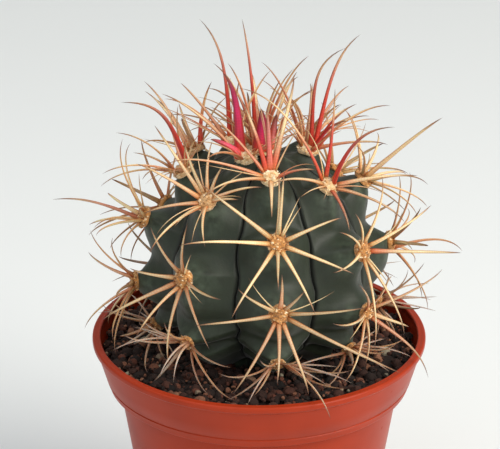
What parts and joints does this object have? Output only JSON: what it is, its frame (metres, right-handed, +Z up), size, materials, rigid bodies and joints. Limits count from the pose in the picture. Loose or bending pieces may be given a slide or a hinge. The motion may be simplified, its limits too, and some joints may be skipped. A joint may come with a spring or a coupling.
{
  "type": "potted barrel cactus",
  "caption": "Squat ribbed barrel cactus with long red and straw-coloured spines in wool pads, in a round plastic nursery pot filled with dark grit.",
  "frame": {"origin": "middle of the pot's base, on the surface that the pot stands on", "axes": "+Z up, the front of the plant towards -Y, +X to the right seen from the front"},
  "size_m": [0.1335, 0.1254, 0.1917],
  "materials": {
    "pot_plastic": "satin terracotta-coloured plastic",
    "soil_grit": "dry crumbly grit",
    "cactus_skin": "waxy dark green skin",
    "spine_young": "satin red spines",
    "spine_straw": "satin straw spines",
    "spine_old": "dull grey-brown spines"
  },
  "bodies": {
    "root": {"pot": "pot_plastic", "soil": "soil_grit", "cactus_stem": "cactus_skin", "spines_crown": "spine_young", "spines_a1": "spine_young", "spines_a2": "spine_straw", "spines_a3": "spine_straw", "spines_a4": "spine_old", "spines_d1": "spine_young", "spines_d2": "spine_straw", "spines_d3": "spine_straw", "spines_d4": "spine_old", "spines_e1": "spine_young", "spines_e2": "spine_straw", "spines_e3": "spine_straw", "spines_e4": "spine_old", "spines_f1": "spine_young", "spines_f2": "spine_straw", "spines_f3": "spine_straw", "spines_f4": "spine_old", "spines_g1": "spine_young", "spines_g2": "spine_straw", "spines_g3": "spine_straw", "spines_g4": "spine_old", "spines_h1": "spine_young", "spines_h2": "spine_young", "spines_h3": "spine_straw", "spines_h4": "spine_old", "spines_c1": "spine_young", "spines_c2": "spine_straw", "spines_c3": "spine_straw", "spines_c4": "spine_old", "spines_b1": "spine_young", "spines_b2": "spine_young", "spines_b3": "spine_straw", "spines_b4": "spine_old"}
  },
  "joints": []
}
